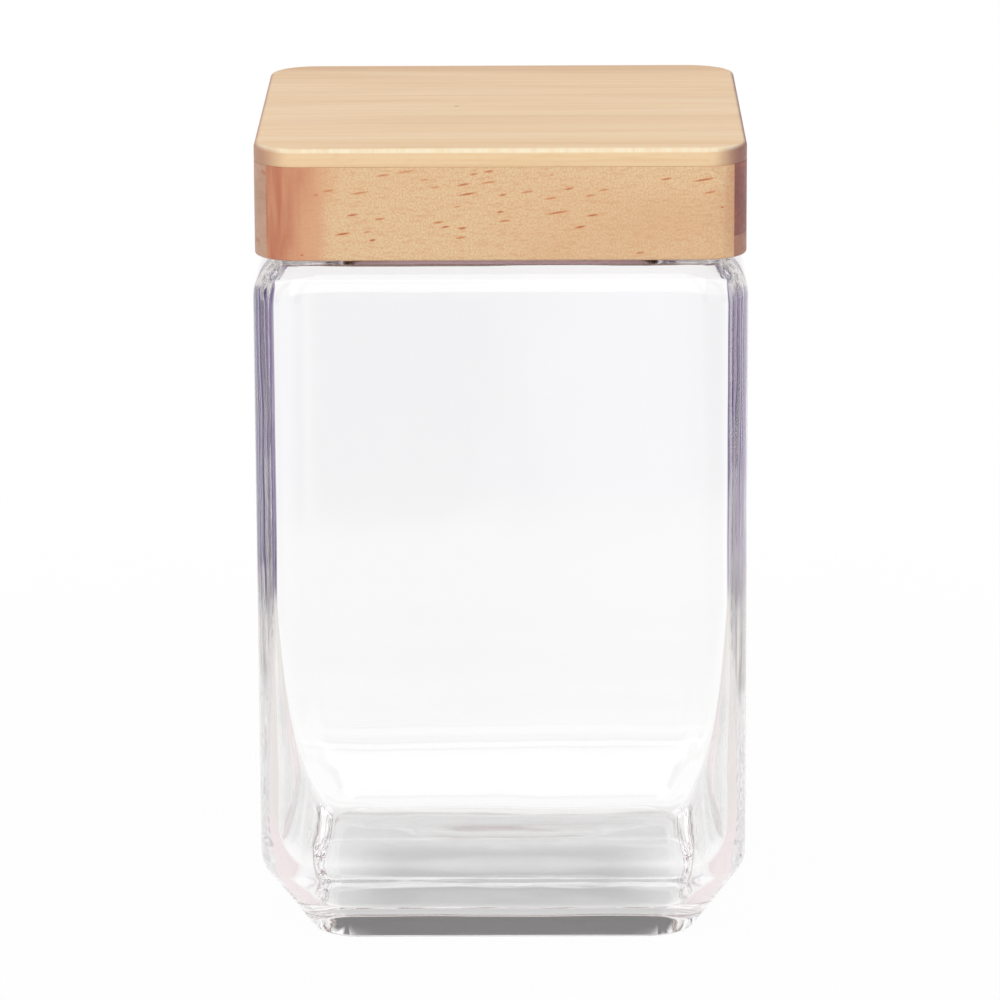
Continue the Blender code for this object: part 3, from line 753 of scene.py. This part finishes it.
def board_wood(name, along, light, dark, lower=None):
    """Wood for a frame board whose grain runs along x or y. A lower colour starts under a level line."""
    finish, tree, shader, place = new_finish(name)
    long_way = (16.0, 140.0, 140.0) if along == "x" else (140.0, 16.0, 140.0)
    fine_way = (120.0, 1300.0, 1100.0) if along == "x" else (1300.0, 120.0, 1100.0)
    broad = grain(tree, place, long_way, detail=3.0, wobble=0.5)
    fibres = grain(tree, place, fine_way, detail=4.0, tilt=(FIBRE_SLOPE, -FIBRE_SLOPE, 0.0))
    colour = tinted(tree, light, broad, 0.35, 0.70, 0.7, dark)
    colour = tinted(tree, colour, fibres, 0.50, 0.75, 0.5, dark)
    if lower is not None:
        split = node(tree, "ShaderNodeSeparateXYZ", {0: place})
        below = masked(tree, split.outputs["Z"], LOWER_TONE_Z + EASE, LOWER_TONE_Z - EASE)
        toned = tinted(tree, lower, fibres, 0.45, 0.75, 0.5, light)
        colour = mixed(tree, below, colour, toned)
    # One cell in four holds a pore, and the cell's own random colour sets how large it is.
    cells_way = (300.0, 2400.0, 2400.0) if along == "x" else (2400.0, 300.0, 2400.0)
    mapped = node(tree, "ShaderNodeMapping", {"Vector": place, "Scale": cells_way}).outputs[0]
    cells = node(tree, "ShaderNodeTexVoronoi", {"Vector": mapped, "Scale": 0.25})
    chance = node(tree, "ShaderNodeSeparateColor", {0: cells.outputs["Color"]}).outputs[0]
    size = masked(tree, chance, 0.75, 1.0, 0.0, 0.42)
    pores = maths(tree, "LESS_THAN", cells.outputs["Distance"], size)
    colour = mixed(tree, maths(tree, "MULTIPLY", pores, 0.45), colour, PORE_BROWN)
    tree.links.new(colour, shader.inputs["Base Color"])
    tree.links.new(masked(tree, fibres, 0.3, 0.7, SATIN, SATIN + 0.12), shader.inputs["Roughness"])
    press(tree, shader, fibres, BOARD_GRAIN_STRENGTH)
    return finish


# %% Side, back and plug finishes
LEFT_TAN = linear(206, 164, 138)
LEFT_BROWN = linear(186, 140, 114)
# The right board's colours are its own darker wood with painted shade in them, as it faces away from the
# lamp.
RIGHT_SHADED_RED = linear(160, 98, 88)
RIGHT_SHADED_DARK_RED = linear(134, 78, 72)
RIGHT_LOWER_SHADED_TAN = linear(178, 126, 104)
PLUG_PALE = linear(252, 212, 218)
PLUG_PINK = linear(242, 198, 206)

left_finish = board_wood("left_wood", "y", LEFT_TAN, LEFT_BROWN)
right_shaded_finish = board_wood("right_wood_shaded", "y", RIGHT_SHADED_RED, RIGHT_SHADED_DARK_RED, lower=RIGHT_LOWER_SHADED_TAN)
back_finish = board_wood("back_wood", "x", ORANGE_TAN, SPECKLE_TAN)
plug_finish = board_wood("plug_wood", "x", PLUG_PALE, PLUG_PINK)
frame_left.data.materials.append(left_finish)
frame_right.data.materials.append(right_shaded_finish)
frame_back.data.materials.append(back_finish)
plug.data.materials.append(plug_finish)
print("woods:", [finish.name for finish in (left_finish, right_shaded_finish, back_finish, plug_finish)])

# %% [markdown]
# ## Silicone
# The seal is clear silicone, which looks milky because it scatters light inside. A touch of subsurface
# scattering with a soft surface gives that without the cost of real transmission. A fine noise in its
# roughness keeps it from looking like a painted ring.

# %% Seal finish
MILK_LIGHT = linear(226, 228, 226)
MILK_DARK = linear(206, 209, 206)
MILKINESS = 0.25
SCATTER_LENGTH = 0.003
DUST_STRENGTH = 0.15

seal_finish, tree, shader, place = new_finish("silicone")
dust = grain(tree, place, (500.0, 500.0, 500.0), detail=3.0)
milky = tinted(tree, MILK_LIGHT, dust, 0.4, 0.8, 0.5, MILK_DARK)
tree.links.new(milky, shader.inputs["Base Color"])
tree.links.new(masked(tree, dust, 0.3, 0.7, 0.28, 0.42), shader.inputs["Roughness"])
shader.inputs["Subsurface Weight"].default_value = MILKINESS
shader.inputs["Subsurface Radius"].default_value = (SCATTER_LENGTH, SCATTER_LENGTH, SCATTER_LENGTH)
shader.inputs["Subsurface Scale"].default_value = 1.0
press(tree, shader, dust, DUST_STRENGTH)
seal.data.materials.append(seal_finish)
print("seal:", seal_finish.name)

# %% [markdown]
# ## A pale floor
# The jar stands on white, and the picture's background is white too. A round floor takes the object's soft
# shadow close by. Further out it turns into plain white for the camera, so that no horizon shows, while
# lamps and bounced light still meet an ordinary pale surface.

# %% Floor
FLOOR_RADIUS = 6.0
FLOOR_STEPS = 64
shape = bmesh.new()
bmesh.ops.create_circle(shape, cap_ends=True, segments=FLOOR_STEPS, radius=FLOOR_RADIUS)
floor_mesh = bpy.data.meshes.new("floor")
shape.to_mesh(floor_mesh)
shape.free()
floor = bpy.data.objects.new("floor", floor_mesh)
bpy.context.scene.collection.objects.link(floor)
print("floor:", FLOOR_RADIUS, "m round the jar")

# %% [markdown]
# ## What the glass sees of the floor
# Some rays turn round inside thick glass and come out low, and they pick up whatever lies about on a studio
# table. For such rays the floor has quiet tones: a painted shadow grey under the jar and faintly pink beside
# it, then beige, and lilac further out, dark on the left, and pale on the right, where it leaves out the
# corners. Rays that pass straight through see a painted shadow under the jar, a dimmer patch that is darkest
# in its front half.

# %% Floor finish
DARK_LILAC = linear(66, 44, 106)
PALE_LILAC = linear(178, 162, 190)
NEAR_PINK = linear(240, 228, 230)
# Painted shadow grey for the floor under the jar, for rays turned round in the glass.
SHADOW_GREY = linear(206, 205, 205)
BEIGE = linear(230, 226, 222)
SHADOW_SHARE = 0.97
FRONT_LEVEL = 0.67
SIDE_FADE = 1.3
BACK_LEVEL = 0.96
FLOOR_GREY = (0.86, 0.86, 0.86, 1.0)
FLOOR_ROUGHNESS = 0.9
# Places and distances on the floor between which one tone turns into the next, in metres.
LEFT_TO_RIGHT_X = (-0.02, 0.04)
GREY_TO_PINK_X = (0.034, 0.052)
NEAR_TO_BEIGE = (0.10, 0.16)
BEIGE_TO_LILAC = (0.22, 0.29)
SHADOW_TO_WHITE = (0.10, 0.45)
FRONT_TO_BACK_Y = (-0.012, 0.014)
DIM_TO_FULL = (0.030, 0.056)
# Levels of a wave round the jar that is 1 at the axes and -1 at the corners.
PALE_BEARINGS = (-0.30, 0.15)

floor_finish, tree, shader, place = new_finish("floor_white")
shader.inputs["Base Color"].default_value = FLOOR_GREY
shader.inputs["Roughness"].default_value = FLOOR_ROUGHNESS
path = node(tree, "ShaderNodeLightPath")
away = node(tree, "ShaderNodeVectorMath", {0: place}, operation="LENGTH").outputs["Value"]
split = node(tree, "ShaderNodeSeparateXYZ", {0: place})
right_side = masked(tree, split.outputs["X"], *LEFT_TO_RIGHT_X)
lilac = mixed(tree, right_side, DARK_LILAC, PALE_LILAC)
shown = mixed_value(tree, right_side, 1.0, near_axes(tree, split, *PALE_BEARINGS))
lilac = mixed(tree, shown, WHITE, lilac)
off_middle = maths(tree, "ABSOLUTE", split.outputs["X"])
near_look = mixed(tree, masked(tree, off_middle, *GREY_TO_PINK_X), SHADOW_GREY, NEAR_PINK)
turned_look = mixed(tree, masked(tree, away, *NEAR_TO_BEIGE), near_look, BEIGE)
turned_look = mixed(tree, masked(tree, away, *BEIGE_TO_LILAC), turned_look, lilac)
direct = maths(tree, "LESS_THAN", path.outputs["Diffuse Depth"], HALF)
turned = maths(tree, "MULTIPLY", direct, maths(tree, "MINIMUM", path.outputs["Glossy Depth"], 1.0))
turned = maths(tree, "MULTIPLY", path.outputs["Is Transmission Ray"], turned)
look = mixed(tree, turned, WHITE, turned_look)
seen = maths(tree, "MAXIMUM", path.outputs["Is Camera Ray"], path.outputs["Is Glossy Ray"])
seen = maths(tree, "MULTIPLY", seen, masked(tree, away, *SHADOW_TO_WHITE, SHADOW_SHARE, 1.0))
sideways = maths(tree, "MULTIPLY", off_middle, SIDE_FADE)
depth = maths(tree, "MAXIMUM", sideways, maths(tree, "ABSOLUTE", split.outputs["Y"]))
# A painted shadow under the jar for rays straight through the glass, darkest in its front half.
shadow_under_jar = masked(tree, split.outputs["Y"], *FRONT_TO_BACK_Y, FRONT_LEVEL, BACK_LEVEL)
shadow_under_jar = mixed_value(tree, masked(tree, depth, *DIM_TO_FULL), shadow_under_jar, 1.0)
plain = maths(tree, "MULTIPLY", direct, maths(tree, "LESS_THAN", path.outputs["Glossy Depth"], HALF))
plain = maths(tree, "MULTIPLY", path.outputs["Is Transmission Ray"], plain)
level = mixed_value(tree, plain, 1.0, shadow_under_jar)
white = node(tree, "ShaderNodeEmission", {"Color": look, "Strength": level})
share = maths(tree, "MAXIMUM", seen, path.outputs["Is Transmission Ray"])
blend = node(tree, "ShaderNodeMixShader", {0: share, 1: shader.outputs[0], 2: white.outputs[0]})
tree.links.new(blend.outputs[0], tree.nodes["Material Output"].inputs["Surface"])
floor_mesh.materials.append(floor_finish)
print("floor finish:", len(tree.nodes), "nodes")

# %% [markdown]
# ## The room round the jar
# Glass shows the room, so the room needs a shape. The camera sees it white, as in a studio. Reflections also
# meet soft dark flags at eight bearings, which give the edges of the glass their lines. Rays that have passed
# through glass meet a grey band instead, some 13 to 24 degrees up at the front, the back and the sides. It
# gives the thick base its grey strip. The wood and the floor get an even, softer light from all round.

# %% World
FILL_LEVEL = 0.55
FLAG_COUNT = 8
FLAG_COLOUR = linear(132, 124, 156)
FLAG_EDGE = (-0.35, -0.85)
BAND_GREY = linear(116, 116, 116)
# Heights in the room, as the upward share of a direction, between which the grey band fades out.
BAND_UPPER_EDGE = (0.40, 0.52)
BAND_LOWER_EDGE = (0.22, 0.14)
BAND_BEARINGS = (0.10, 0.70)
MOST_TURNS = 2

world = bpy.data.worlds.new("studio")
bpy.context.scene.world = world
world.use_nodes = True
tree = world.node_tree
tree.nodes.clear()
heading = node(tree, "ShaderNodeTexCoord").outputs["Generated"]
split = node(tree, "ShaderNodeSeparateXYZ", {0: heading})
bearing = maths(tree, "ARCTAN2", split.outputs["X"], split.outputs["Y"])
waves = maths(tree, "COSINE", maths(tree, "MULTIPLY", bearing, float(FLAG_COUNT)))
flag = masked(tree, waves, *FLAG_EDGE)
reflected = mixed(tree, flag, WHITE, FLAG_COLOUR)
over_band = masked(tree, split.outputs["Z"], *BAND_UPPER_EDGE)
under_band = masked(tree, split.outputs["Z"], *BAND_LOWER_EDGE)
outside = maths(tree, "MAXIMUM", over_band, under_band)
inside = maths(tree, "SUBTRACT", 1.0, outside)
inside = maths(tree, "MULTIPLY", near_axes(tree, split, *BAND_BEARINGS), inside)
path = node(tree, "ShaderNodeLightPath")
direct = maths(tree, "LESS_THAN", path.outputs["Diffuse Depth"], HALF)
few = maths(tree, "LESS_THAN", path.outputs["Glossy Depth"], MOST_TURNS + HALF)
direct = maths(tree, "MULTIPLY", direct, few)
through_glass = mixed(tree, maths(tree, "MULTIPLY", inside, direct), WHITE, BAND_GREY)
level = mixed(tree, path.outputs["Is Glossy Ray"], (FILL_LEVEL, FILL_LEVEL, FILL_LEVEL, 1.0), reflected)
level = mixed(tree, path.outputs["Is Transmission Ray"], level, through_glass)
level = mixed(tree, path.outputs["Is Camera Ray"], level, WHITE)
sky = node(tree, "ShaderNodeBackground", {"Color": level, "Strength": 1.0})
output = node(tree, "ShaderNodeOutputWorld")
tree.links.new(sky.outputs[0], output.inputs["Surface"])
print("room:", FLAG_COUNT, "flags")

# %% [markdown]
# ## One soft lamp
# The wood needs light from one side to show its edges. One wide, soft lamp stands in front of the jar, above
# it and a little to the left, and faces the lid. Because it is wide, it leaves hardly any shadow.

# %% Lamp
KEY_PLACE = Vector((-0.15, -1.10, 1.35))
KEY_AIM = Vector((0.0, 0.0, LID_BOTTOM_Z))
KEY_WIDTH = 2.2
KEY_HEIGHT = 1.6
KEY_WATTS = 15.0

key_light = bpy.data.lights.new("key_lamp", "AREA")
key_light.shape = "RECTANGLE"
key_light.size = KEY_WIDTH
key_light.size_y = KEY_HEIGHT
key_light.energy = KEY_WATTS
key_lamp = bpy.data.objects.new("key_lamp", key_light)
bpy.context.scene.collection.objects.link(key_lamp)
key_lamp.location = KEY_PLACE
key_lamp.rotation_euler = (KEY_PLACE - KEY_AIM).to_track_quat("Z", "Y").to_euler()
print("lamp:", key_lamp.name, KEY_WATTS, "W")

# %% [markdown]
# ## Light paths and colour
# A ray that enters a wall of glass edge on bounces many times before it leaves. Blender's usual limits would
# end it in black, so glossy and transmitted light get more bounces. The Standard view keeps a white at 1.

# %% Light paths
BOUNCES_IN_ALL = 72
REFLECTED_BOUNCES = 64
GLASS_BOUNCES = 32
bpy.context.scene.cycles.max_bounces = BOUNCES_IN_ALL
bpy.context.scene.cycles.glossy_bounces = REFLECTED_BOUNCES
bpy.context.scene.cycles.transmission_bounces = GLASS_BOUNCES
bpy.context.scene.view_settings.view_transform = "Standard"
print("bounces:", BOUNCES_IN_ALL)

# %% [markdown]
# ## What moves with what
# The lid lifts off as one, so its pieces ride on the body called lid, and the glass rides on the jar. Each
# new piece stands for one CAD solid, which is then hidden but still carries the collision and the mass.

# %% Bodies and slots
FITTED = [
    (glass, "jar", "glass_jar", "clear_glass"),
    (top_board, "lid", "lid_top_board", "top_wood"),
    (frame_front, "lid", "lid_frame_front", "frame_wood"),
    (frame_back, "lid", "lid_frame_back", "frame_wood"),
    (frame_left, "lid", "lid_frame_left", "side_wood"),
    (frame_right, "lid", "lid_frame_right", "side_wood"),
    (plug, "lid", "lid_plug", "plug_wood"),
    (seal, "lid", "lid_gasket", "seal"),
]
for piece, body, cad_node, slot in FITTED:
    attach(piece, body)
    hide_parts(cad_node)
print("pieces:", len(FITTED))
